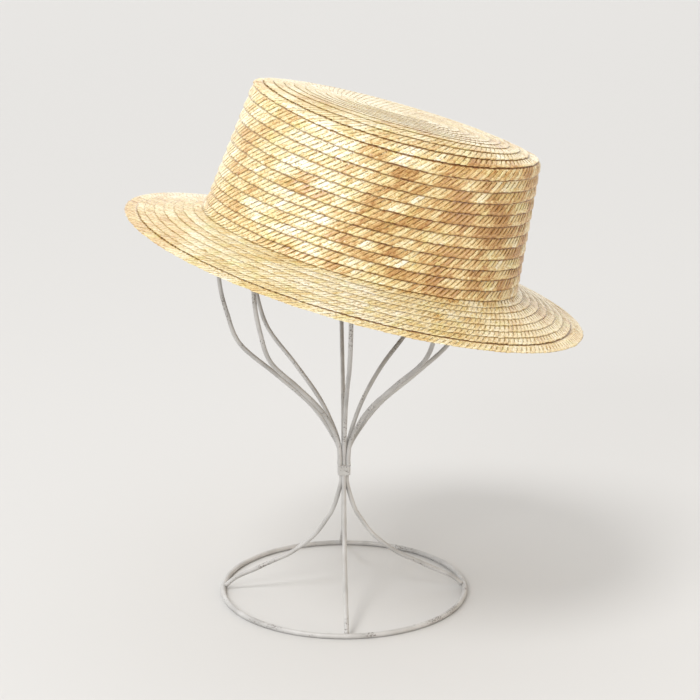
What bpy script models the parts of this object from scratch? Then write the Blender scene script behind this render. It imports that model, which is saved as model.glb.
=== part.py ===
"""Straw boater hat leaning on a wire hat stand.

Metres, +Z up. The stand rests on Z = 0 and the hat's long axis runs along X, leaning down towards +X.
The origin is on the floor under the middle of the brim, which is also the middle of the whole object.
"""

import math

import bmesh
import bpy
from mathutils import Matrix, Vector

# Clearance between pieces that touch, and the merge distance of the modifiers
GAP = 0.0003
MERGE = 0.00001

# The head oval: every ring of the hat is this much longer than it is wide, from its middle to each end
OVAL_SPINE = 0.0140

# Crown, outside sizes
CROWN_BASE_R = 0.0876
CROWN_TOP_R = 0.0773
CROWN_EDGE_H = 0.0792
CROWN_EDGE_SWAY = 0.0041
TIP_H = 0.0875
SHOULDER_W = 0.0290

# Brim, outside sizes
BRIM_W = 0.0477
BRIM_DROP = 0.0135
BRIM_SWAY = 0.0008
RIM_ROW_W = 0.0075

# Straw wall, and how far the lower edge of each braid row stands over the next row
WALL = 0.0016
BRAID_LAP = 0.0006
TIP_ROWS = 12
SIDE_ROWS = 12
BRIM_ROWS = 8
HAT_SEGMENTS = 48

# How the hat leans on the stand, and how far the raised end of its wall stays from the dome
HAT_LEAN = math.radians(15.57)
HAT_NOD = math.radians(2.1)
WALL_CLEAR = 0.0029

# Base ring and wires of the stand
RING_R = 0.0800
RING_D = 0.0034
WIRE_D = 0.0026
RING_SIDES = 8
RING_SEGMENTS = 48
WIRE_BEVEL = 1

# Neck, where the legs and the cage wires meet in a filled weld
NECK_Z = 0.0836
WELD_H = 0.0066
WELD_STEPS = 3
LEG_TURN = math.radians(1.3)
LEG_SLOPE = math.radians(30.0)
LEG_STEPS = 2

# Cage, a swelling basket of wires with a dome that carries the hat, and how far its belly stays
# inside the crown's wall where the wall is half way up
CAGE_SLACK = 0.00185
CAGE_BELLY_Z = 0.2360
DOME_H = 0.0789
DOME_POWER = 2.5
DOME_STEPS = 8
CAGE_STEPS = 2
CAGE_TURN = math.radians(3.15)
HUB_R = 0.0080
HUB_RIM = 0.0004
HUB_SIDES = 24

# Leg route: share of the ring's radius outwards, share of the neck's height upwards
LEG_ROUTE = (
    {"out": 0.890, "up": 0.103},
    {"out": 0.740, "up": 0.168},
    {"out": 0.595, "up": 0.235},
    {"out": 0.440, "up": 0.305},
    {"out": 0.255, "up": 0.442},
    {"out": 0.148, "up": 0.577},
    {"out": 0.082, "up": 0.690},
)

# Cage wire route: share of the height from neck to belly, share of the belly's radius
CAGE_ROUTE = (
    {"up": 0.143, "out": 0.083},
    {"up": 0.281, "out": 0.260},
    {"up": 0.416, "out": 0.545},
    {"up": 0.551, "out": 0.839},
    {"up": 0.687, "out": 0.942},
    {"up": 0.821, "out": 0.998},
)
# Share of a wire's own swell that each point of that route takes
SWELL_SHARES = (0.6, 1.0, 1.0, 0.5, 0.0, 0.0)
# Share of the way up the route at which a wire has turned to its own azimuth
TURN_UP = 0.281

# Each wire is bent by hand: how far it turns out of its place in degrees, and how much wider it swells
CAGE_WIRES = (
    {"turn": 0.0, "swell": -0.14},
    {"turn": 1.0, "swell": -0.02},
    {"turn": 6.0, "swell": 0.13},
    {"turn": -4.5, "swell": -0.20},
    {"turn": -1.7, "swell": 0.04},
    {"turn": 2.7, "swell": -0.05},
    {"turn": -2.0, "swell": 0.00},
    {"turn": -1.0, "swell": -0.02},
)

# Sizes that follow from the ones above
BRIM_ROW_W = (WALL + BRIM_W - RIM_ROW_W) / (BRIM_ROWS - 1)
CROWN_ROWS = TIP_ROWS + SIDE_ROWS
BELLY_R = (CROWN_BASE_R + CROWN_TOP_R) / 2 - WALL - CAGE_SLACK
INNER_R = (WIRE_D + GAP) / math.sqrt(2)
OUTER_R = INNER_R / math.sqrt(2) + math.sqrt((WIRE_D + GAP) ** 2 - INNER_R**2 / 2)
WELD_TOP = NECK_Z + WELD_H / 2
WELD_BOTTOM = NECK_Z - WELD_H / 2


def clear_scene():
    for old in list(bpy.data.objects):
        bpy.data.objects.remove(old, do_unlink=True)


def make_material(name, colour, roughness):
    material = bpy.data.materials.new(name)
    material.use_nodes = True
    shader = material.node_tree.nodes["Principled BSDF"]
    shader.inputs["Base Color"].default_value = (*colour, 1.0)
    shader.inputs["Roughness"].default_value = roughness
    shader.inputs["Metallic"].default_value = 0.0
    return material


def add_object(name, data, material, parent, collection):
    piece = bpy.data.objects.new(name, data)
    data.materials.append(material)
    piece.parent = parent
    collection.objects.link(piece)
    return piece


def add_empty(name, parent, collection):
    empty = bpy.data.objects.new(name, None)
    empty.parent = parent
    collection.objects.link(empty)
    return empty


# Straw hat


def oval_ring(section):
    """The points of one oval ring. section gives the half width and the height at an angle."""
    ring = []
    for step in range(HAT_SEGMENTS):
        angle = 2 * math.pi * step / HAT_SEGMENTS
        r, z = section(angle)
        ring.append(Vector(((r + OVAL_SPINE) * math.cos(angle), r * math.sin(angle), z)))
    return ring


def crown_profile(row, angle):
    """Half width and height of the crown's skin: row 0 is the tip's middle, CROWN_ROWS its foot."""
    edge = CROWN_EDGE_H + CROWN_EDGE_SWAY * math.cos(2 * angle)
    if row > TIP_ROWS:
        down = (row - TIP_ROWS) / SIDE_ROWS
        return CROWN_TOP_R + (CROWN_BASE_R - CROWN_TOP_R) * down, edge * (1 - down)
    r = CROWN_TOP_R * row / TIP_ROWS
    inwards = min(1.0, (CROWN_TOP_R - r) / SHOULDER_W)
    return r, edge + (TIP_H - edge) * (1 - (1 - inwards) ** 2)


def brim_profile(row, angle):
    """Half width and height of the brim's top: row 0 is under the crown's wall, BRIM_ROWS the rim."""
    drop = BRIM_DROP - BRIM_SWAY * math.cos(2 * angle)
    out = BRIM_ROW_W * row
    if row > BRIM_ROWS - 1:
        out = BRIM_ROW_W * (BRIM_ROWS - 1) + RIM_ROW_W * (row - BRIM_ROWS + 1)
    return CROWN_BASE_R - WALL + out, -GAP - drop * out / (BRIM_W + WALL)


def skin_ring(profile, row, offset, floor=None):
    """A ring of the skin at a row, moved out of the wall by offset along the profile's normal."""
    reach = 0.25

    def section(angle):
        r, z = profile(row, angle)
        r_in, z_in = profile(row - reach, angle)
        r_out, z_out = profile(row + reach, angle)
        normal = Vector((z_in - z_out, r_out - r_in)).normalized()
        z += offset * normal.y
        return r + offset * normal.x, z if floor is None else max(z, floor)

    return oval_ring(section)


def lapped_rows(profile, first, rows, floor=None):
    """Rings of the outside: each row rises from under the last one to its own lower edge."""
    rings = [skin_ring(profile, first, 0.0, floor)]
    for row in rows:
        rings.append(skin_ring(profile, row, BRAID_LAP, floor))
        rings.append(skin_ring(profile, row, 0.0, floor))
    return rings[:-1]


def loft(name, rings, closed):
    """A closed mesh through the rings: a loop of them, or a run with its two ends capped."""
    shape = bmesh.new()
    rows = [[shape.verts.new(point) for point in ring] for ring in rings]
    pairs = list(zip(rows, rows[1:]))
    if closed:
        pairs.append((rows[-1], rows[0]))
    else:
        shape.faces.new(rows[0])
        shape.faces.new(rows[-1])
    for upper, lower in pairs:
        for here in range(HAT_SEGMENTS):
            after = (here + 1) % HAT_SEGMENTS
            shape.faces.new((upper[here], lower[here], lower[after], upper[after]))
    bmesh.ops.recalc_face_normals(shape, faces=shape.faces)
    mesh = bpy.data.meshes.new(name)
    shape.to_mesh(mesh)
    shape.free()
    return mesh


def crown_mesh():
    middle = 0.5
    rings = lapped_rows(crown_profile, middle, range(1, CROWN_ROWS + 1), floor=0.0)
    inner_rows = (CROWN_ROWS, TIP_ROWS + SIDE_ROWS / 2, TIP_ROWS, TIP_ROWS - 1.5, TIP_ROWS - 3.5, TIP_ROWS / 2)
    for row in (*inner_rows, middle):
        rings.append(skin_ring(crown_profile, row, -WALL, floor=0.0))
    return loft("crown", rings, closed=False)


def brim_mesh():
    rings = lapped_rows(brim_profile, 0, range(1, BRIM_ROWS + 1))
    for row in (BRIM_ROWS, BRIM_ROWS / 2, 0):
        rings.append(skin_ring(brim_profile, row, -WALL))
    return loft("brim", rings, closed=True)


# Where the hat sits on the cage


def dome_support(across, up):
    """How far the dome reaches from its centre in the direction (across, up)."""
    dual = DOME_POWER / (DOME_POWER - 1)
    reach = (BELLY_R * abs(across)) ** dual + (DOME_H * abs(up)) ** dual
    return reach ** (1 / dual)


def seat_hat():
    """The hat's origin beside the stand's axis and above the floor.

    The tip's inside rests on the dome and the raised end of the wall's inside stays WALL_CLEAR from it.
    """
    lean_sin = math.sin(HAT_LEAN)
    lean_cos = math.cos(HAT_LEAN)
    edge = CROWN_EDGE_H + CROWN_EDGE_SWAY
    taper = math.atan2(CROWN_BASE_R - CROWN_TOP_R, edge)
    tip = (lean_sin, lean_cos)
    wall = (
        -math.cos(taper) * lean_cos + math.sin(taper) * lean_sin,
        math.cos(taper) * lean_sin + math.sin(taper) * lean_cos,
    )
    tip_gap = dome_support(*tip) + WIRE_D / 2 + GAP - (TIP_H - WALL)
    wall_reach = (CROWN_BASE_R + OVAL_SPINE) * math.cos(taper) - WALL
    wall_gap = dome_support(*wall) + WIRE_D / 2 + WALL_CLEAR - wall_reach
    spread = tip[0] * wall[1] - tip[1] * wall[0]
    across = (tip_gap * wall[1] - wall_gap * tip[1]) / spread
    up = (tip[0] * wall_gap - wall[0] * tip_gap) / spread
    return across, CAGE_BELLY_Z + up


# Wire stand


def place(out, azimuth, z):
    """A point at a radius from the stand's axis; azimuth 0 is the front, at -Y, and 90 degrees is +X."""
    return Vector((out * math.sin(azimuth), -out * math.cos(azimuth), z))


def smooth_route(knots, steps):
    """Points of a Catmull-Rom curve through the knots."""
    padded = [2 * knots[0] - knots[1], *knots, 2 * knots[-1] - knots[-2]]
    route = []
    for before, start, end, after in zip(padded, padded[1:], padded[2:], padded[3:]):
        for step in range(steps):
            t = step / steps
            slope = (end - before) * t
            bend = (2 * before - 5 * start + 4 * end - after) * t**2
            twist = (3 * start - before - 3 * end + after) * t**3
            route.append(0.5 * (2 * start + slope + bend + twist))
    route.append(knots[-1])
    return route


def wire(name, route, material, parent, collection):
    """A round wire along the route, as a curve with filled caps."""
    curve = bpy.data.curves.new(name, "CURVE")
    curve.dimensions = "3D"
    curve.bevel_depth = WIRE_D / 2
    curve.bevel_resolution = WIRE_BEVEL
    curve.use_fill_caps = True
    spline = curve.splines.new("POLY")
    spline.points.add(len(route) - 1)
    for point, where in zip(spline.points, route):
        point.co = (*where, 1.0)
    return add_object(name, curve, material, parent, collection)


def leg_route(azimuth):
    """From the inside of the base ring, up a trumpet curve, to the underside of the neck weld."""
    end_reach = RING_D / 2 + GAP
    end = place(
        RING_R - end_reach * math.cos(LEG_SLOPE), azimuth, RING_D / 2 + end_reach * math.sin(LEG_SLOPE)
    )
    knots = [end]
    for knot in LEG_ROUTE:
        knots.append(place(knot["out"] * RING_R, azimuth, knot["up"] * NECK_Z))
    top = WELD_BOTTOM - GAP
    knots.append(place(INNER_R, azimuth, top - WELD_H))
    knots.append(place(INNER_R, azimuth, top))
    return smooth_route(knots, LEG_STEPS)


def cage_route(number):
    """From the top of the neck weld, out round the belly and over the dome to the hub's rim."""
    trim = CAGE_WIRES[number]
    azimuth = 2 * math.pi * number / len(CAGE_WIRES) + CAGE_TURN
    turn = math.radians(trim["turn"])
    bundle_r = OUTER_R if number % 2 else INNER_R
    start = WELD_TOP + GAP
    knots = [place(bundle_r, azimuth, start), place(bundle_r, azimuth, start + WELD_H)]
    rise = CAGE_BELLY_Z - NECK_Z
    for knot, swell_share in zip(CAGE_ROUTE, SWELL_SHARES):
        out = knot["out"] * BELLY_R * (1 + trim["swell"] * swell_share)
        turned = azimuth + turn * min(1.0, knot["up"] / TURN_UP)
        knots.append(place(max(out, bundle_r), turned, NECK_Z + knot["up"] * rise))
    route = smooth_route([*knots, place(BELLY_R, azimuth + turn, CAGE_BELLY_Z)], CAGE_STEPS)
    last_out = HUB_R + GAP
    last_angle = math.acos((last_out / BELLY_R) ** (DOME_POWER / 2))
    for step in range(1, DOME_STEPS + 1):
        angle = last_angle * step / DOME_STEPS
        out = BELLY_R * math.cos(angle) ** (2 / DOME_POWER)
        up = DOME_H * math.sin(angle) ** (2 / DOME_POWER)
        route.append(place(out, azimuth + turn, CAGE_BELLY_Z + up))
    return route


def base_ring(material, parent, collection):
    """The ring on the floor, turned from a flat-sided round section."""
    mesh = bpy.data.meshes.new("base_ring")
    corner_r = RING_D / 2 / math.cos(math.pi / RING_SIDES)
    points = []
    for side in range(RING_SIDES):
        angle = math.pi / 2 - 2 * math.pi * (side + 0.5) / RING_SIDES
        points.append((RING_R + corner_r * math.cos(angle), 0.0, RING_D / 2 + corner_r * math.sin(angle)))
    edges = [(side, (side + 1) % RING_SIDES) for side in range(RING_SIDES)]
    mesh.from_pydata(points, edges, [])
    ring = add_object("base_ring", mesh, material, parent, collection)
    screw = ring.modifiers.new("turn", "SCREW")
    screw.steps = RING_SEGMENTS
    screw.render_steps = RING_SEGMENTS
    screw.use_merge_vertices = True
    screw.merge_threshold = MERGE
    screw.use_smooth_shade = True
    return ring


def neck_weld(material, parent, collection):
    """The filled weld, a rounded square round the four outer wires."""
    half = OUTER_R / math.sqrt(2) + WIRE_D / 2
    shape = bmesh.new()
    bmesh.ops.create_cube(shape, size=1.0)
    bmesh.ops.scale(shape, vec=(2 * half, 2 * half, WELD_H), verts=shape.verts)
    upright = [edge for edge in shape.edges if abs(edge.verts[0].co.z - edge.verts[1].co.z) > WELD_H / 2]
    bmesh.ops.bevel(
        shape, geom=upright, offset=WIRE_D / 2, segments=WELD_STEPS, profile=0.5, affect="EDGES"
    )
    mesh = bpy.data.meshes.new("neck_weld")
    shape.to_mesh(mesh)
    shape.free()
    weld = add_object("neck_weld", mesh, material, parent, collection)
    weld.location = (0.0, 0.0, NECK_Z)
    weld.rotation_euler = (0.0, 0.0, CAGE_TURN)
    return weld


def cage_hub(material, parent, collection):
    """The small disc in the top of the cage, thick enough to take the wires' ends in its rim."""
    shape = bmesh.new()
    bmesh.ops.create_cone(
        shape,
        cap_ends=True,
        segments=HUB_SIDES,
        radius1=HUB_R,
        radius2=HUB_R,
        depth=WIRE_D + 2 * HUB_RIM,
    )
    mesh = bpy.data.meshes.new("cage_hub")
    shape.to_mesh(mesh)
    shape.free()
    hub = add_object("cage_hub", mesh, material, parent, collection)
    hub.location = (0.0, 0.0, CAGE_BELLY_Z + DOME_H)
    return hub


def build():
    clear_scene()
    parts = bpy.data.collections.new("straw_boater_on_stand")
    bpy.context.scene.collection.children.link(parts)
    straw = make_material("straw", (0.80, 0.64, 0.36), 0.55)
    paint = make_material("white_paint", (0.78, 0.77, 0.75), 0.45)

    hat_x, hat_z = seat_hat()
    stand_axis = add_empty("stand_axis", None, parts)
    stand_axis.location = (BRIM_DROP * math.sin(HAT_LEAN) - hat_x, 0.0, 0.0)

    hat_frame = add_empty("hat_frame", stand_axis, parts)
    lean = Matrix.Rotation(HAT_LEAN, 4, "Y") @ Matrix.Rotation(HAT_NOD, 4, "X")
    hat_frame.matrix_local = Matrix.Translation((hat_x, 0.0, hat_z)) @ lean
    add_object("crown", crown_mesh(), straw, hat_frame, parts)
    add_object("brim", brim_mesh(), straw, hat_frame, parts)

    base_ring(paint, stand_axis, parts)
    for number, side in enumerate(("front", "right", "back", "left")):
        azimuth = math.pi / 2 * number + LEG_TURN
        wire("leg_" + side, leg_route(azimuth), paint, stand_axis, parts)
    neck_weld(paint, stand_axis, parts)
    for number in range(len(CAGE_WIRES)):
        wire(f"cage_wire_{number + 1}", cage_route(number), paint, stand_axis, parts)
    cage_hub(paint, stand_axis, parts)


build()
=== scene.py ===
"""Looks of the straw boater on its wire stand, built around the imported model.

The hat is one plaited straw braid. It winds in a spiral over the crown's tip, down its side and out over
the brim, and each turn lies over the next one. The stand is round painted wire.
"""

import math

import bpy
import numpy as np
from mathutils import Matrix, Vector


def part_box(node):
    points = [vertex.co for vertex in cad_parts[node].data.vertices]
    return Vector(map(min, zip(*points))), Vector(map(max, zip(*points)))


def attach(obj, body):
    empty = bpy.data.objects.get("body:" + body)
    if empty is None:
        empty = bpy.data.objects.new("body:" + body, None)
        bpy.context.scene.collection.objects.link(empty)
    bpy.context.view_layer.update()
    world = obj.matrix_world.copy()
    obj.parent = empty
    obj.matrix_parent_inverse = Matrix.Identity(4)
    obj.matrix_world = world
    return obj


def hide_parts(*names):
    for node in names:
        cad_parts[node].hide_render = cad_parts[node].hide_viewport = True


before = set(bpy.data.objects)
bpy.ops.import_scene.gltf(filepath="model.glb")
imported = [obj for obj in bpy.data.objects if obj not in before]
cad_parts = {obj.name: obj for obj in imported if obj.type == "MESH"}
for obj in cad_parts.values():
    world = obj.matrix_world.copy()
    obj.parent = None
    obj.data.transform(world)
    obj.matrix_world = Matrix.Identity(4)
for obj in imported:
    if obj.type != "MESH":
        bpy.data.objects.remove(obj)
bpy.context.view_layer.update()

# The hat's own form, in metres, as in the model that the frame was packed from
OVAL_SPINE = 0.0140
CROWN_BASE_R = 0.0876
CROWN_TOP_R = 0.0773
CROWN_EDGE_H = 0.0792
CROWN_EDGE_SWAY = 0.0041
TIP_H = 0.0875
SHOULDER_W = 0.0290
BRIM_W = 0.0477
BRIM_DROP = 0.0135
BRIM_SWAY = 0.0008
RIM_ROW_W = 0.0075
WALL = 0.0016
BRAID_LAP = 0.0006
TIP_ROWS = 12
SIDE_ROWS = 12
BRIM_ROWS = 8
HAT_LEAN = math.radians(15.57)
HAT_NOD = math.radians(2.1)

# Rows of braid that show on the side grow narrower from the tip's edge down to the brim
SIDE_FIRST_ROW = 0.0074
SIDE_LAST_ROW = 0.0062
FOOT_ROW = TIP_ROWS + SIDE_ROWS
RIM_ROW = FOOT_ROW + BRIM_ROWS

# The braid: seven flat straws that each pass over some others and under the next ones
STRAWS = 7
STRAW_PITCH = 0.0040
BRAID_W = 0.0135
STRAW_W = 0.00268
STRAW_H = 0.00022
PLAIT_H = 0.00022
BRAID_CYCLE = STRAWS * STRAW_PITCH
# Height of the braid's outer edge over the hat's surface, and how far the braid sinks from there over
# one row, so that it passes under the outer edge of the turn before
EDGE_LIFT = 0.00050
ROW_SINK = 0.00085
# How much the hidden part of the braid is drawn together under the turn before
HIDDEN = 0.55

# The stand
RING_D = 0.0034
RING_R = 0.0800
WIRE_D = 0.0026
# The wire with its paint, which fills nearly all of the gap that the model leaves between two wires
PAINTED_D = 0.00285
GAP = 0.0003
NECK_Z = 0.0836
WELD_H = 0.0066
LEG_TURN = math.radians(1.3)
LEG_SLOPE = math.radians(30.0)
CAGE_SLACK = 0.0070
CAGE_BELLY_Z = 0.2360
DOME_H = 0.0789
DOME_POWER = 2.5
CAGE_TURN = math.radians(3.15)
HUB_R = 0.0080
BELLY_R = CROWN_BASE_R - WALL - CAGE_SLACK
INNER_R = (WIRE_D + GAP) / math.sqrt(2)
OUTER_R = INNER_R / math.sqrt(2) + math.sqrt((WIRE_D + GAP) ** 2 - INNER_R**2 / 2)

# Leg route: share of the ring's radius outwards, share of the neck's height upwards
LEG_ROUTE = (
    {"out": 0.890, "up": 0.103},
    {"out": 0.740, "up": 0.168},
    {"out": 0.595, "up": 0.235},
    {"out": 0.440, "up": 0.305},
    {"out": 0.255, "up": 0.442},
    {"out": 0.148, "up": 0.577},
    {"out": 0.082, "up": 0.690},
)
# Cage wire route: share of the height from neck to belly, share of the belly's radius
CAGE_ROUTE = (
    {"up": 0.143, "out": 0.083},
    {"up": 0.281, "out": 0.260},
    {"up": 0.416, "out": 0.545},
    {"up": 0.551, "out": 0.839},
    {"up": 0.687, "out": 0.942},
    {"up": 0.821, "out": 0.998},
)
SWELL_SHARES = (0.6, 1.0, 1.0, 0.5, 0.0, 0.0)
# Steps between two knots of a wire, stops over the dome, and sides of a wire's section
WIRE_STEPS = 7
DOME_STOPS = 36
WIRE_SIDES = 20
TURN_UP = 0.281
CAGE_WIRES = (
    {"turn": 0.0, "swell": -0.14},
    {"turn": 1.0, "swell": -0.02},
    {"turn": 6.0, "swell": 0.13},
    {"turn": -4.5, "swell": -0.20},
    {"turn": -1.7, "swell": 0.04},
    {"turn": 2.7, "swell": -0.05},
    {"turn": -2.0, "swell": 0.00},
    {"turn": -1.0, "swell": -0.02},
)


# Helpers


def random_of(*keys):
    """A fixed random number from 0 to 1 for each set of whole-number keys."""
    mixed = np.zeros(np.broadcast(*keys).shape)
    for place, key in enumerate(keys):
        mixed = mixed + np.asarray(key, float) * (12.9898 + 65.233 * place)
    wave = np.sin(mixed) * 43758.5453
    return wave - np.floor(wave)


def smooth_random(where, *keys):
    """Random values at whole numbers, joined by a smooth curve."""
    low = np.floor(where)
    part = where - low
    part = part * part * (3 - 2 * part)
    return random_of(low, *keys) * (1 - part) + random_of(low + 1, *keys) * part


def new_object(name, mesh, material):
    mesh.materials.append(material)
    piece = bpy.data.objects.new(name, mesh)
    bpy.context.scene.collection.objects.link(piece)
    return piece


def mesh_from_arrays(name, points, quads, caps=()):
    """A smooth mesh from a point array and a quad array, with any caps as point lists."""
    mesh = bpy.data.meshes.new(name)
    mesh.vertices.add(len(points))
    mesh.vertices.foreach_set("co", np.asarray(points, np.float32).ravel())
    sizes = np.concatenate([np.full(len(quads), 4), [len(cap) for cap in caps]]).astype(np.int32)
    corners = np.concatenate([np.asarray(quads).ravel(), *[np.asarray(cap) for cap in caps]]).astype(np.int32)
    mesh.loops.add(len(corners))
    mesh.loops.foreach_set("vertex_index", corners)
    mesh.polygons.add(len(sizes))
    starts = np.concatenate([[0], np.cumsum(sizes)[:-1]]).astype(np.int32)
    mesh.polygons.foreach_set("loop_start", starts)
    mesh.polygons.foreach_set("use_smooth", np.ones(len(sizes), bool))
    mesh.update(calc_edges=True)
    mesh.validate()
    return mesh


def add_attribute(mesh, name, kind, values):
    field = {"FLOAT": "value", "FLOAT_VECTOR": "vector"}[kind]
    attribute = mesh.attributes.new(name, kind, "POINT")
    attribute.data.foreach_set(field, np.asarray(values, np.float32).ravel())


# The hat's surface


def hat_section(row, angle):
    """Half width and height of the hat at a row and angle, from the tip's middle to the rim."""
    edge = CROWN_EDGE_H + CROWN_EDGE_SWAY * np.cos(2 * angle)
    tip_r = CROWN_TOP_R * np.clip(row, 0, TIP_ROWS) / TIP_ROWS
    inwards = np.minimum(1.0, (CROWN_TOP_R - tip_r) / SHOULDER_W)
    tip_z = edge + (TIP_H - edge) * (1 - (1 - inwards) ** 2)

    down = np.clip(row - TIP_ROWS, 0, SIDE_ROWS)
    narrowing = (SIDE_FIRST_ROW - SIDE_LAST_ROW) / (2 * SIDE_ROWS)
    mean_row = (SIDE_FIRST_ROW + SIDE_LAST_ROW) / 2
    share = (SIDE_FIRST_ROW * down - narrowing * down**2) / (mean_row * SIDE_ROWS)
    side_r = CROWN_TOP_R + (CROWN_BASE_R - CROWN_TOP_R) * share
    side_z = edge * (1 - share)

    beyond = row - FOOT_ROW
    brim_row = (BRIM_W - RIM_ROW_W) / (BRIM_ROWS - 1)
    out = np.where(beyond < BRIM_ROWS - 1, brim_row * beyond, BRIM_W + RIM_ROW_W * (beyond - BRIM_ROWS))
    drop = BRIM_DROP - BRIM_SWAY * np.cos(2 * angle)
    brim_r = CROWN_BASE_R + out
    brim_z = -drop * out / BRIM_W

    r = np.where(row < TIP_ROWS, tip_r, np.where(row < FOOT_ROW, side_r, brim_r))
    z = np.where(row < TIP_ROWS, tip_z, np.where(row < FOOT_ROW, side_z, brim_z))
    return r, z


def hat_point(row, angle):
    """Points of the hat's surface, with the tip's edge and the crown's foot slightly rounded."""
    r = 0.0
    z = 0.0
    reach = np.minimum(0.30, np.maximum(row - 0.02, 0.0))
    for share, weight in ((-1.0, 0.15), (-0.5, 0.22), (0.0, 0.26), (0.5, 0.22), (1.0, 0.15)):
        near_r, near_z = hat_section(row + share * reach, angle)
        r = r + weight * near_r
        z = z + weight * near_z
    return np.stack([(r + OVAL_SPINE) * np.cos(angle), r * np.sin(angle), z], -1)


def row_height(row):
    """Width of the braid that shows at a row."""
    tip = CROWN_TOP_R / TIP_ROWS
    down = np.clip((row - TIP_ROWS) / SIDE_ROWS, 0, 1)
    side = SIDE_FIRST_ROW + (SIDE_LAST_ROW - SIDE_FIRST_ROW) * down
    brim = (BRIM_W - RIM_ROW_W) / (BRIM_ROWS - 1)
    height = np.where(row < TIP_ROWS, tip, np.where(row < FOOT_ROW, side, brim))
    return np.where(row > RIM_ROW - 1, RIM_ROW_W, height)


# The share of a turn at which the rim's rows step outwards, at the back of the hat, and over how much
BACK_FROM = 0.30
BACK_W = 0.40
# The spiral's start and end, and the stops in each turn of its table of lengths
START_ANGLE = math.radians(-90)
FIRST_TURN = 0.55
LAST_TURN = RIM_ROW - 1.0 + BACK_FROM + BACK_W + 0.97
TABLE_STEPS = 240


def outer_edge_row(turns):
    """The row of the braid's outer edge after a number of turns.

    The last turn is a ring, so that the rim is even, and the step out to it is at the back of the hat.
    """
    closing = RIM_ROW - 1.0
    past = turns - closing
    last = closing + np.clip((past - BACK_FROM) / BACK_W, 0, 1)
    return np.where(past < 0.0, turns, last)


def turn_table():
    """Turns and the length of braid up to each, along the braid's middle."""
    turns = np.arange(FIRST_TURN, LAST_TURN, 1 / TABLE_STEPS)
    row = outer_edge_row(turns)
    middle = np.maximum(row - 0.0036 / row_height(row), 0.12)
    points = hat_point(middle, START_ANGLE - 2 * np.pi * turns)
    steps = np.linalg.norm(np.diff(points, axis=0), axis=1)
    return turns, np.concatenate([[0.0], np.cumsum(steps)])


TURNS, LENGTHS = turn_table()


def outer_edge(along):
    """The row of the braid's outer edge along its length, which wanders a little as it was sewn by hand."""
    row = outer_edge_row(np.interp(along, LENGTHS, TURNS))
    wander = smooth_random(along / 0.060, 3) + smooth_random(along / 0.019, 5) * 0.3 - 0.65
    return row + np.where(row < RIM_ROW - 0.01, 0.00065 * wander / row_height(row), 0.0)


def braid_surface(along, across, up):
    """Points on the braid: along its length, across from its outer edge, and up from its middle layer.

    Also how far each point lies from the outer edge, as a share of what the turn before leaves in sight.
    """
    turns = np.interp(along, LENGTHS, TURNS)
    edge = outer_edge(along)
    shown = row_height(edge)
    covered = np.maximum(across - shown - 0.001, 0.0)
    across = across - HIDDEN * covered
    up = up * np.interp(covered, (0.0, 0.002), (1.0, 1.0 - HIDDEN))
    fit = np.minimum(1.0, edge * shown / (BRAID_W - HIDDEN * (BRAID_W - shown - 0.001)))
    row = np.maximum(edge - across * fit / shown, 0.008)
    turn_before = np.interp(turns - 1, TURNS, LENGTHS)
    edge_before = np.where(turns - 1 > FIRST_TURN, outer_edge(turn_before), edge - 3)
    in_sight = (edge - row) / np.maximum(edge - edge_before, 0.3)
    angle = START_ANGLE - 2 * np.pi * turns
    step = 0.02
    here = hat_point(row, angle)
    outwards = hat_point(row + step, angle) - hat_point(np.maximum(row - step, 0.0), angle)
    round_about = hat_point(row, angle + step) - hat_point(row, angle - step)
    normal = np.cross(outwards, round_about)
    normal /= np.linalg.norm(normal, axis=-1, keepdims=True)
    level = EDGE_LIFT - ROW_SINK * (edge - row)
    return here + normal * (relief(row) * (level + up))[..., None], in_sight, row


def relief(row):
    """How far the braid stands out: fully on the side, pressed flatter on the tip and the brim."""
    rows = (0, 7, 9.5, 11.8, 24.0, 25.0, 30.0, 31.0)
    return np.interp(row, rows, (0.22, 0.25, 0.45, 1.0, 1.0, 0.45, 0.45, 0.75))


# Places along half of a straw's cycle across the braid and back, where it folds, dives and rises
CYCLE_STOPS = (0.0, 0.045, 0.105, 0.19, 0.275, 0.365, 0.450)
# Share of the way across over which a straw turns round at each edge
FOLD = 0.10
# Section of a straw: across in half widths, up in straw heights
STRAW_SECTION = ((-1.0, -0.1), (-0.55, 0.85), (0.55, 0.85), (1.0, -0.1), (0.0, -1.0))


def straw_paths(start, end):
    """Braid length, place in its cycle and straw number of every stop of every straw from start to end."""
    stops = np.array(CYCLE_STOPS + tuple(stop + 0.5 for stop in CYCLE_STOPS))
    paths = []
    for straw in range(STRAWS):
        phase = straw / STRAWS
        first = math.floor(start / BRAID_CYCLE + phase) - 1
        last = math.ceil(end / BRAID_CYCLE + phase) + 1
        cycle = (np.arange(first, last)[:, None] + stops[None, :]).ravel()
        along = (cycle - phase) * BRAID_CYCLE
        inside = (along > start + 0.0002) & (along < end - 0.0002)
        cycle = np.concatenate([[start / BRAID_CYCLE + phase], cycle[inside], [end / BRAID_CYCLE + phase]])
        paths.append((straw, (cycle - phase) * BRAID_CYCLE, cycle))
    return paths


def straw_centre(straw, cycle):
    """Distance across the braid from its outer edge, and height, along one straw."""
    part = cycle - np.floor(cycle)
    half = np.floor(cycle * 2)
    rise = 1 - np.abs(2 * part - 1)
    inner = BRAID_W - STRAW_W
    across = STRAW_W / 2 + inner * np.clip((rise - FOLD) / (1 - 2 * FOLD), 0, 1)
    across = across + (random_of(np.floor(cycle * 2 + 0.5), straw + 31) - 0.5) * 0.00055
    weave = np.clip(0.5 * np.cos(4 * np.pi * part) - 2.4 * np.sin(4 * np.pi * part), -1, 1)
    lift = 0.8 + 0.4 * random_of(half, straw + 11)
    return across, PLAIT_H * weave * lift


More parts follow.
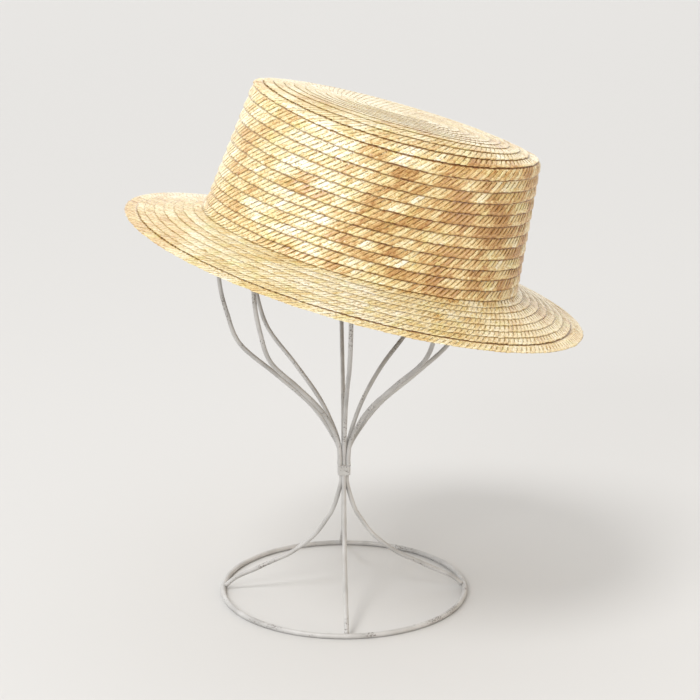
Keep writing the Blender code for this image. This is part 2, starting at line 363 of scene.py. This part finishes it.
def straw_tube(straw, along, cycle):
    """Section points of one straw, an array of stops by section points by three, and its lengths."""
    across, up = straw_centre(straw, cycle)
    flat = np.stack([along, across], -1)
    run = np.gradient(flat, axis=0)
    run /= np.linalg.norm(run, axis=1, keepdims=True)
    side = np.stack([-run[:, 1], run[:, 0]], -1)
    half = np.floor(cycle * 2)
    width = STRAW_W / 2 * (0.92 + 0.18 * random_of(half, straw + 71))
    tilt = (random_of(half, straw + 47) - 0.5) * 0.8
    at_along, at_across, at_up = [], [], []
    for out, high in STRAW_SECTION:
        at_along.append(along + side[:, 0] * width * out)
        at_across.append(across + side[:, 1] * width * out)
        at_up.append(up + STRAW_H * (high + tilt * out))
    stacked = [np.stack(values, -1) for values in (at_along, at_across, at_up)]
    stacked[0] = np.clip(stacked[0], 0.0, LENGTHS[-1])
    walked = np.concatenate([[0.0], np.cumsum(np.linalg.norm(np.diff(flat, axis=0), axis=1))])
    tube, in_sight, row = braid_surface(*stacked)
    return tube, in_sight, row, walked


def painted_shade_depth(row):
    """How dark the painted shade line between two turns is: deep on the side and inside the rim's row, faint
    elsewhere.
    """
    rows = (0, 6, 9, 11.5, 23.5, 24.5, 30.2, 30.8)
    return np.interp(row, rows, (0.15, 0.20, 0.45, 1.0, 1.0, 0.40, 0.40, 0.95))


def braid_mesh(name, start, end, into_frame):
    """All the straws of the braid from one length to another, as closed tubes in one mesh."""
    points, quads, caps, straws, tones, shade_line_places, painted_shade_depths = [], [], [], [], [], [], []
    base = 0
    sides = len(STRAW_SECTION)
    for straw, along, cycle in straw_paths(start, end):
        tube, in_sight, row, walked = straw_tube(straw, along, cycle)
        shade_line_places.append(in_sight.ravel())
        # Painted shade: the line between turns is made fainter toward the end at -x, which faces the key
        # light.
        shade_weaker_at_lit_end = np.interp(tube[..., 0], (-0.09, 0.0), (0.55, 1.0))
        painted_shade_depths.append((painted_shade_depth(row) * shade_weaker_at_lit_end).ravel())
        count = len(tube)
        index = base + np.arange(count * sides).reshape(count, sides)
        after = np.roll(index, -1, axis=1)
        quads.append(np.stack([index[:-1], index[1:], after[1:], after[:-1]], -1).reshape(-1, 4))
        caps.append(index[0])
        caps.append(index[-1][::-1])
        points.append(tube.reshape(-1, 3))
        tone = 0.5 + straw_tone(straw, along, cycle) * unevenness(row[:, 0], tube[:, 0, 0])
        # Painted light and shade shift the tone: paler on the brim and toward the lit end, deeper toward the
        # shaded end.
        tone = np.clip(tone + painted_light_shift(row[:, 0], tube[:, 0, 0]), 0, 1)
        around = np.array([out for out, high in STRAW_SECTION])
        own_place = straw + along[:, None] // 0.2
        fibre = np.stack(np.broadcast_arrays(walked[:, None], around[None, :], own_place), -1)
        straws.append(fibre.reshape(-1, 3))
        tones.append(np.repeat(tone, sides))
        base += count * sides
    placed = np.concatenate(points) @ np.array(into_frame.to_3x3()).T + np.array(into_frame.translation)
    mesh = mesh_from_arrays(name, placed, np.concatenate(quads), caps)
    add_attribute(mesh, "straw", "FLOAT_VECTOR", np.concatenate(straws))
    add_attribute(mesh, "painted_shade_depth", "FLOAT", np.concatenate(painted_shade_depths))
    add_attribute(mesh, "tone", "FLOAT", np.concatenate(tones))
    add_attribute(mesh, "in_sight", "FLOAT", np.concatenate(shade_line_places))
    return mesh


def straw_tone(straw, along, cycle):
    """How much lighter or darker than the middle tone each stop of a straw is."""
    half = np.floor(cycle * 2)
    long_change = smooth_random(along / 0.045, straw + 101)
    patch = smooth_random(along / 0.013, 211)
    own = random_of(half, straw + 151)
    return 1.15 * (0.30 * long_change + 0.48 * patch + 0.22 * own - 0.5)


def painted_light_shift(row, x):
    """How much paler or deeper the straw is painted for light and shade: painted light makes it paler on the
    brim and at the end that faces the key light, and painted shade makes it deeper toward the other end.
    """
    on_side = np.interp(row, (10.5, 12.5, 23.5, 25.0), (0.40, 1.0, 1.0, 0.0))
    side = np.interp(x, (-0.09, -0.05, 0.00, 0.05, 0.08, 0.09), (-0.10, 0.00, -0.17, -0.36, -0.28, -0.26))
    on_brim = np.interp(row, (24.0, 25.5), (0.0, 1.0))
    brim = np.interp(x, (-0.13, -0.08, 0.00, 0.05, 0.12), (-0.14, 0.02, 0.10, -0.02, -0.10))
    return on_side * side + on_brim * brim


def unevenness(row, x):
    """How much one straw differs from the next: little on the tip, on the brim and at the raised end."""
    on_side = np.interp(row, (10.5, 12.5, 23.5, 25.0), (0.0, 1.0, 1.0, 0.0))
    side = np.interp(x, (-0.10, -0.05, 0.00, 0.09), (0.60, 0.85, 1.15, 1.15))
    return side * on_side + 0.50 * (1 - on_side)


def hat_origin():
    """Where the hat's own origin stands, from the brim's box in the frame."""
    angle = np.linspace(0, 2 * np.pi, 49)[:-1]
    r = np.full_like(angle, CROWN_BASE_R + BRIM_W)
    z = -(BRIM_DROP - BRIM_SWAY * np.cos(2 * angle))
    ring = np.stack([(r + OVAL_SPINE) * np.cos(angle), r * np.sin(angle), z], -1)
    points = np.concatenate([ring + (0, 0, BRAID_LAP), ring - (0, 0, WALL)])
    turned = points @ np.array(HAT_TURN.to_3x3()).T
    low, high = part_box("brim")
    centre = (np.array(low) + np.array(high)) / 2
    return Vector(centre - (turned.min(0) + turned.max(0)) / 2)


HAT_TURN = Matrix.Rotation(HAT_LEAN, 4, "Y") @ Matrix.Rotation(HAT_NOD, 4, "X")


# The stand's wires


def ring_middle():
    low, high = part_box("base_ring")
    return Vector(((low.x + high.x) / 2, (low.y + high.y) / 2, 0.0))


def place(out, azimuth, z):
    return Vector((out * math.sin(azimuth), -out * math.cos(azimuth), z))


def smooth_route(knots, steps):
    """Points of a Catmull-Rom curve through the knots."""
    padded = [2 * knots[0] - knots[1], *knots, 2 * knots[-1] - knots[-2]]
    route = []
    for before, start, end, after in zip(padded, padded[1:], padded[2:], padded[3:]):
        for step in range(steps):
            t = step / steps
            slope = (end - before) * t
            bend = (2 * before - 5 * start + 4 * end - after) * t**2
            twist = (3 * start - before - 3 * end + after) * t**3
            route.append(0.5 * (2 * start + slope + bend + twist))
    route.append(knots[-1])
    return route


def leg_route(azimuth):
    """From inside the base ring up to the underside of the neck weld."""
    end_reach = RING_D / 2
    end = place(
        RING_R - end_reach * math.cos(LEG_SLOPE), azimuth, RING_D / 2 + end_reach * math.sin(LEG_SLOPE)
    )
    knots = [end]
    for knot in LEG_ROUTE:
        knots.append(place(knot["out"] * RING_R, azimuth, knot["up"] * NECK_Z))
    bottom = NECK_Z - WELD_H / 2
    knots.append(place(INNER_R, azimuth, bottom - WELD_H))
    knots.append(place(INNER_R, azimuth, bottom + 0.0006))
    return smooth_route(knots, WIRE_STEPS)


def cage_route(number):
    """From the top of the neck weld, out round the belly and over the dome to the hub."""
    trim = CAGE_WIRES[number]
    azimuth = 2 * math.pi * number / len(CAGE_WIRES) + CAGE_TURN
    turn = math.radians(trim["turn"])
    bundle_r = OUTER_R if number % 2 else INNER_R
    start = NECK_Z + WELD_H / 2
    knots = [place(bundle_r, azimuth, start - 0.0006), place(bundle_r, azimuth, start + WELD_H)]
    rise = CAGE_BELLY_Z - NECK_Z
    for knot, swell_share in zip(CAGE_ROUTE, SWELL_SHARES):
        out = knot["out"] * BELLY_R * (1 + trim["swell"] * swell_share)
        turned = azimuth + turn * min(1.0, knot["up"] / TURN_UP)
        knots.append(place(max(out, bundle_r), turned, NECK_Z + knot["up"] * rise))
    route = smooth_route([*knots, place(BELLY_R, azimuth + turn, CAGE_BELLY_Z)], WIRE_STEPS)
    last_angle = math.acos((HUB_R / BELLY_R) ** (DOME_POWER / 2))
    for step in range(1, DOME_STOPS + 1):
        angle = last_angle * step / DOME_STOPS
        out = BELLY_R * math.cos(angle) ** (2 / DOME_POWER)
        up = DOME_H * math.sin(angle) ** (2 / DOME_POWER)
        route.append(place(out, azimuth + turn, CAGE_BELLY_Z + up))
    return route


def wire_mesh(name, route, radius, closed=False, origin=Vector()):
    """A round tube along the route, with a slightly uneven skin of paint, no thicker where it is a ring."""
    centre = np.array([point + origin for point in route])
    if closed:
        run = np.roll(centre, -1, axis=0) - np.roll(centre, 1, axis=0)
    else:
        run = np.gradient(centre, axis=0)
    run /= np.linalg.norm(run, axis=1, keepdims=True)
    side = np.cross(run, (0.0, 0.0, 1.0))
    weak = np.linalg.norm(side, axis=1) < 0.3
    if weak.any():
        out = centre[-1] - centre[0]
        fixed = np.cross(out / np.linalg.norm(out), (0.0, 0.0, 1.0))
        side = fixed - run * (run @ fixed)[:, None]
    side /= np.linalg.norm(side, axis=1, keepdims=True)
    other = np.cross(run, side)
    turn = 2 * np.pi * np.arange(WIRE_SIDES) / WIRE_SIDES
    ring = side[:, None] * np.cos(turn)[None, :, None] + other[:, None] * np.sin(turn)[None, :, None]
    seed = sum(ord(letter) for letter in name)
    stop = np.arange(len(centre))[:, None]
    every_side = np.zeros((1, WIRE_SIDES))
    lump = smooth_random(stop / 2.5, seed + every_side) + smooth_random(stop / 6.0, seed + 9 + every_side)
    thick = radius * (1 + 0.05 * (lump - 1.0))
    if closed:
        thick = np.minimum(thick, radius)
    points = centre[:, None] + ring * thick[..., None]
    count = len(centre)
    index = np.arange(count * WIRE_SIDES).reshape(count, WIRE_SIDES)
    rows = np.concatenate([index, index[:1]]) if closed else index
    after = np.roll(rows, -1, axis=1)
    quads = np.stack([rows[:-1], after[:-1], after[1:], rows[1:]], -1).reshape(-1, 4)
    caps = () if closed else (index[0][::-1], index[-1])
    return mesh_from_arrays(name, points.reshape(-1, 3), quads, caps)


# Materials


def new_material(name):
    material = bpy.data.materials.new(name)
    material.use_nodes = True
    nodes = material.node_tree.nodes
    return material, nodes, material.node_tree.links, nodes["Principled BSDF"]


def ramp_node(nodes, stops):
    ramp = nodes.new("ShaderNodeValToRGB")
    points = ramp.color_ramp.elements
    while len(points) < len(stops):
        points.new(0.5)
    for point, (place_at, colour) in zip(points, stops):
        point.position = place_at
        point.color = (*colour, 1.0)
    return ramp


def straw_material():
    """Plaited straw: every straw has its own tone, with fine fibres and specks along it and a waxy gloss, and
    a painted shade line between turns.
    """
    material, nodes, links, shader = new_material("plaited_straw")
    tone = nodes.new("ShaderNodeAttribute")
    tone.attribute_name = "tone"
    fibre = nodes.new("ShaderNodeAttribute")
    fibre.attribute_name = "straw"

    # Fine fibres along each straw
    stretch = nodes.new("ShaderNodeMapping")
    stretch.inputs["Scale"].default_value = (260.0, 2.6, 1.7)
    links.new(fibre.outputs["Vector"], stretch.inputs["Vector"])
    streaks = nodes.new("ShaderNodeTexNoise")
    streaks.inputs["Scale"].default_value = 1.0
    streaks.inputs["Detail"].default_value = 3.0
    links.new(stretch.outputs["Vector"], streaks.inputs["Vector"])

    # Paler and deeper patches over several straws
    place_of = nodes.new("ShaderNodeTexCoord")
    patches = nodes.new("ShaderNodeTexNoise")
    patches.inputs["Scale"].default_value = 38.0
    patches.inputs["Detail"].default_value = 2.0
    links.new(place_of.outputs["Object"], patches.inputs["Vector"])

    # Lightness of the straw, from its tone (its own tone with painted light and shade added), its fibres and
    # its patch
    sharp = nodes.new("ShaderNodeMapRange")
    sharp.inputs["From Min"].default_value = 0.34
    sharp.inputs["From Max"].default_value = 0.66
    links.new(streaks.outputs["Fac"], sharp.inputs["Value"])
    light = nodes.new("ShaderNodeMath")
    light.operation = "MULTIPLY_ADD"
    light.inputs[1].default_value = 0.42
    links.new(sharp.outputs["Result"], light.inputs[0])
    links.new(tone.outputs["Fac"], light.inputs[2])
    patched = nodes.new("ShaderNodeMath")
    patched.operation = "MULTIPLY_ADD"
    patched.inputs[1].default_value = 0.45
    links.new(patches.outputs["Fac"], patched.inputs[0])
    links.new(light.outputs["Value"], patched.inputs[2])
    centred = nodes.new("ShaderNodeMath")
    centred.operation = "SUBTRACT"
    centred.inputs[1].default_value = 0.385
    links.new(patched.outputs["Value"], centred.inputs[0])

    ramp = ramp_node(
        nodes,
        (
            (0.00, (0.44, 0.22, 0.060)),
            (0.20, (0.63, 0.40, 0.150)),
            (0.42, (0.76, 0.60, 0.29)),
            (0.64, (0.85, 0.75, 0.48)),
            (0.88, (0.94, 0.90, 0.76)),
        ),
    )
    links.new(centred.outputs["Value"], ramp.inputs["Fac"])

    # Small dark specks
    fine = nodes.new("ShaderNodeMapping")
    fine.inputs["Scale"].default_value = (750.0, 1.5, 2.3)
    links.new(fibre.outputs["Vector"], fine.inputs["Vector"])
    specks = nodes.new("ShaderNodeTexNoise")
    specks.inputs["Scale"].default_value = 1.0
    specks.inputs["Detail"].default_value = 1.0
    links.new(fine.outputs["Vector"], specks.inputs["Vector"])
    dark = nodes.new("ShaderNodeMapRange")
    dark.inputs["From Min"].default_value = 0.54
    dark.inputs["From Max"].default_value = 0.66
    dark.inputs["To Max"].default_value = 0.85
    links.new(specks.outputs["Fac"], dark.inputs["Value"])
    speckled = nodes.new("ShaderNodeMix")
    speckled.data_type = "RGBA"
    speckled.blend_type = "MULTIPLY"
    speckled.inputs["B"].default_value = (0.62, 0.44, 0.22, 1.0)
    links.new(dark.outputs["Result"], speckled.inputs["Factor"])

    # Greener patches
    green = nodes.new("ShaderNodeTexNoise")
    green.inputs["Scale"].default_value = 110.0
    links.new(place_of.outputs["Object"], green.inputs["Vector"])
    greener = nodes.new("ShaderNodeMapRange")
    greener.inputs["From Min"].default_value = 0.52
    greener.inputs["From Max"].default_value = 0.75
    greener.inputs["To Max"].default_value = 0.55
    links.new(green.outputs["Fac"], greener.inputs["Value"])
    mix = nodes.new("ShaderNodeMix")
    mix.data_type = "RGBA"
    mix.blend_type = "MULTIPLY"
    mix.inputs["B"].default_value = (0.90, 0.97, 0.62, 1.0)
    links.new(greener.outputs["Result"], mix.inputs["Factor"])
    links.new(ramp.outputs["Color"], speckled.inputs["A"])
    links.new(speckled.outputs["Result"], mix.inputs["A"])

    # Painted shade: a dark line where a turn goes under the turn before, standing in for the shadow under the
    # turn's edge
    in_sight = nodes.new("ShaderNodeAttribute")
    in_sight.attribute_name = "in_sight"
    painted_shade_band = nodes.new("ShaderNodeMapRange")
    painted_shade_band.inputs["From Min"].default_value = 0.86
    painted_shade_band.inputs["From Max"].default_value = 0.97
    links.new(in_sight.outputs["Fac"], painted_shade_band.inputs["Value"])
    depth = nodes.new("ShaderNodeAttribute")
    depth.attribute_name = "painted_shade_depth"
    deep = nodes.new("ShaderNodeMath")
    deep.operation = "MULTIPLY"
    links.new(painted_shade_band.outputs["Result"], deep.inputs[0])
    links.new(depth.outputs["Fac"], deep.inputs[1])
    shade = nodes.new("ShaderNodeMix")
    shade.data_type = "RGBA"
    shade.blend_type = "MULTIPLY"
    shade.inputs["B"].default_value = (0.34, 0.18, 0.07, 1.0)
    links.new(deep.outputs["Value"], shade.inputs["Factor"])
    links.new(mix.outputs["Result"], shade.inputs["A"])
    links.new(shade.outputs["Result"], shader.inputs["Base Color"])

    gloss = nodes.new("ShaderNodeMapRange")
    gloss.inputs["From Min"].default_value = 0.3
    gloss.inputs["From Max"].default_value = 0.7
    gloss.inputs["To Min"].default_value = 0.20
    gloss.inputs["To Max"].default_value = 0.44
    links.new(streaks.outputs["Fac"], gloss.inputs["Value"])
    links.new(gloss.outputs["Result"], shader.inputs["Roughness"])
    shader.inputs["Specular IOR Level"].default_value = 0.80
    shader.inputs["Coat Weight"].default_value = 0.25
    shader.inputs["Coat Roughness"].default_value = 0.22

    bump = nodes.new("ShaderNodeBump")
    bump.inputs["Strength"].default_value = 0.35
    bump.inputs["Distance"].default_value = 0.00012
    links.new(streaks.outputs["Fac"], bump.inputs["Height"])
    links.new(bump.outputs["Normal"], shader.inputs["Normal"])
    return material


def paint_material():
    """Off-white paint on wire, with a soft uneven skin, greyer patches and small chips."""
    material, nodes, links, shader = new_material("stand_paint")
    place_of = nodes.new("ShaderNodeTexCoord")
    skin = nodes.new("ShaderNodeTexNoise")
    skin.inputs["Scale"].default_value = 420.0
    skin.inputs["Detail"].default_value = 3.0
    links.new(place_of.outputs["Object"], skin.inputs["Vector"])
    broad = nodes.new("ShaderNodeTexNoise")
    broad.inputs["Scale"].default_value = 60.0
    links.new(place_of.outputs["Object"], broad.inputs["Vector"])
    ramp = ramp_node(nodes, ((0.30, (0.38, 0.37, 0.355)), (0.62, (0.52, 0.51, 0.495))))
    links.new(broad.outputs["Fac"], ramp.inputs["Fac"])

    # Small chips in the paint, where it is worn
    flakes = nodes.new("ShaderNodeTexNoise")
    flakes.inputs["Scale"].default_value = 1100.0
    links.new(place_of.outputs["Object"], flakes.inputs["Vector"])
    worn = nodes.new("ShaderNodeTexNoise")
    worn.inputs["Scale"].default_value = 45.0
    links.new(place_of.outputs["Object"], worn.inputs["Vector"])
    both = nodes.new("ShaderNodeMath")
    both.operation = "MULTIPLY"
    links.new(flakes.outputs["Fac"], both.inputs[0])
    links.new(worn.outputs["Fac"], both.inputs[1])
    bare = nodes.new("ShaderNodeMapRange")
    bare.inputs["From Min"].default_value = 0.365
    bare.inputs["From Max"].default_value = 0.385
    bare.inputs["To Max"].default_value = 0.85
    links.new(both.outputs["Value"], bare.inputs["Value"])
    chipped = nodes.new("ShaderNodeMix")
    chipped.data_type = "RGBA"
    chipped.inputs["B"].default_value = (0.12, 0.10, 0.085, 1.0)
    links.new(bare.outputs["Result"], chipped.inputs["Factor"])
    links.new(ramp.outputs["Color"], chipped.inputs["A"])
    links.new(chipped.outputs["Result"], shader.inputs["Base Color"])

    gloss = nodes.new("ShaderNodeMapRange")
    gloss.inputs["To Min"].default_value = 0.32
    gloss.inputs["To Max"].default_value = 0.5
    links.new(skin.outputs["Fac"], gloss.inputs["Value"])
    links.new(gloss.outputs["Result"], shader.inputs["Roughness"])
    bump = nodes.new("ShaderNodeBump")
    bump.inputs["Strength"].default_value = 0.25
    bump.inputs["Distance"].default_value = 0.0001
    links.new(skin.outputs["Fac"], bump.inputs["Height"])
    links.new(bump.outputs["Normal"], shader.inputs["Normal"])
    return material


def floor_material():
    material, nodes, links, shader = new_material("studio_floor")
    shader.inputs["Base Color"].default_value = (0.585, 0.577, 0.566, 1.0)
    shader.inputs["Roughness"].default_value = 0.75
    return material


# Build


def add_hat(straw):
    """The braid in five lengths, each under the limit of triangles for a piece."""
    into_frame = Matrix.Translation(hat_origin()) @ HAT_TURN
    foot = np.interp(FOOT_ROW - 0.5, TURNS, LENGTHS)
    edge = np.interp(TIP_ROWS - 0.5, TURNS, LENGTHS)
    side_half = np.interp(TIP_ROWS - 0.5 + SIDE_ROWS / 2, TURNS, LENGTHS)
    brim_half = np.interp(FOOT_ROW - 0.5 + BRIM_ROWS / 2, TURNS, LENGTHS)
    lengths = (
        ("braid_tip", 0.0, edge, "crown"),
        ("braid_side_upper", edge, side_half, "crown"),
        ("braid_side_lower", side_half, foot, "crown"),
        ("braid_brim_inner", foot, brim_half, "brim"),
        ("braid_brim_outer", brim_half, LENGTHS[-1], "brim"),
    )
    for name, start, end, node in lengths:
        piece = new_object(name, braid_mesh(name, start, end, into_frame), straw)
        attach(piece, "root")
        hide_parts(node)


def add_wire(name, node, route, paint, radius=PAINTED_D / 2, closed=False):
    mesh = wire_mesh(name, route, radius, closed, ring_middle())
    piece = new_object(name, mesh, paint)
    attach(piece, "root")
    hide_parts(node)
    return piece


def add_stand(paint):
    ring_route = [place(RING_R, 2 * math.pi * step / 180, RING_D / 2) for step in range(180)]
    add_wire("foot_ring", "base_ring", ring_route, paint, RING_D / 2, closed=True)
    for number, side in enumerate(("front", "right", "back", "left")):
        azimuth = math.pi / 2 * number + LEG_TURN
        add_wire("wire_leg_" + side, "leg_" + side, leg_route(azimuth), paint)
    for number in range(len(CAGE_WIRES)):
        add_wire(f"wire_cage_{number + 1}", f"cage_wire_{number + 1}", cage_route(number), paint)
    for name in ("neck_weld", "cage_hub"):
        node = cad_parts[name]
        node.data.materials.clear()
        node.data.materials.append(paint)


def add_floor():
    mesh = bpy.data.meshes.new("floor")
    size = 20.0
    corners = [(-size, -size, 0), (size, -size, 0), (size, size, 0), (-size, size, 0)]
    mesh.from_pydata(corners, [], [(0, 1, 2, 3)])
    new_object("floor", mesh, floor_material())


def add_light(name, size, energy, where, aim, colour=(1.0, 1.0, 1.0)):
    light = bpy.data.lights.new(name, "AREA")
    light.shape = "DISK"
    light.size = size
    light.energy = energy
    light.color = colour
    lamp = bpy.data.objects.new(name, light)
    bpy.context.scene.collection.objects.link(lamp)
    lamp.location = where
    lamp.rotation_euler = (Vector(aim) - Vector(where)).to_track_quat("-Z", "Y").to_euler()
    return lamp


def add_lights():
    world = bpy.data.worlds.new("studio")
    world.use_nodes = True
    nodes = world.node_tree.nodes
    links = world.node_tree.links
    # A pale room, brighter on the left and behind, and warmer on the right
    direction = nodes.new("ShaderNodeTexCoord")
    parts = nodes.new("ShaderNodeSeparateXYZ")
    links.new(direction.outputs["Generated"], parts.inputs["Vector"])
    warmth = ramp_node(nodes, ((0.35, (1.0, 1.0, 0.995)), (1.0, (1.0, 0.86, 0.70))))
    links.new(parts.outputs["X"], warmth.inputs["Fac"])
    links.new(warmth.outputs["Color"], nodes["Background"].inputs["Color"])
    side = nodes.new("ShaderNodeMapRange")
    side.inputs["From Min"].default_value = -1.0
    side.inputs["To Min"].default_value = 1.10
    side.inputs["To Max"].default_value = 0.52
    links.new(parts.outputs["X"], side.inputs["Value"])
    back = nodes.new("ShaderNodeMapRange")
    back.inputs["To Max"].default_value = 0.60
    links.new(parts.outputs["Y"], back.inputs["Value"])
    both = nodes.new("ShaderNodeMath")
    links.new(side.outputs["Result"], both.inputs[0])
    links.new(back.outputs["Result"], both.inputs[1])
    links.new(both.outputs["Value"], nodes["Background"].inputs["Strength"])
    bpy.context.scene.world = world

    sun = bpy.data.lights.new("key", "SUN")
    sun.energy = 1.25
    sun.angle = math.radians(22)
    lamp = bpy.data.objects.new("key", sun)
    bpy.context.scene.collection.objects.link(lamp)
    lamp.rotation_euler = Vector((0.117, 0.109, -0.27)).to_track_quat("-Z", "Y").to_euler()
    add_light("softbox", 0.7, 11.0, (-0.85, -1.50, 1.00), (0.0, 0.0, 0.25))
    add_light("warm_fill", 0.8, 5.0, (1.35, -0.80, 0.32), (0.05, 0.0, 0.24), (1.0, 0.87, 0.70))


# Camera as fitted to the photo: where it stands from the middle of the stand's foot, and its turns
CAMERA_AT = (0.00087, -0.9780, 0.4084)
CAMERA_PITCH = 0.2455
CAMERA_YAW = 0.00307
CAMERA_ROLL = 0.00134
CAMERA_FOCAL_PX = 1575.0
IMAGE_PX = 700.0
SENSOR_MM = 36.0


def add_camera():
    data = bpy.data.cameras.new("camera")
    data.sensor_width = SENSOR_MM
    data.lens = CAMERA_FOCAL_PX / IMAGE_PX * SENSOR_MM
    camera = bpy.data.objects.new("camera", data)
    bpy.context.scene.collection.objects.link(camera)
    ahead = Vector(
        (
            math.sin(CAMERA_YAW) * math.cos(CAMERA_PITCH),
            math.cos(CAMERA_YAW) * math.cos(CAMERA_PITCH),
            -math.sin(CAMERA_PITCH),
        )
    )
    right = Vector((math.cos(CAMERA_YAW), -math.sin(CAMERA_YAW), 0.0))
    up = right.cross(ahead)
    rolled_right = math.cos(CAMERA_ROLL) * right + math.sin(CAMERA_ROLL) * up
    rolled_up = math.cos(CAMERA_ROLL) * up - math.sin(CAMERA_ROLL) * right
    turn = Matrix((rolled_right, rolled_up, -ahead)).transposed().to_4x4()
    camera.matrix_world = Matrix.Translation(Vector(CAMERA_AT) + ring_middle()) @ turn
    bpy.context.scene.camera = camera


add_camera()
add_hat(straw_material())
add_stand(paint_material())
add_floor()
add_lights()
bpy.context.scene.view_settings.view_transform = "Standard"
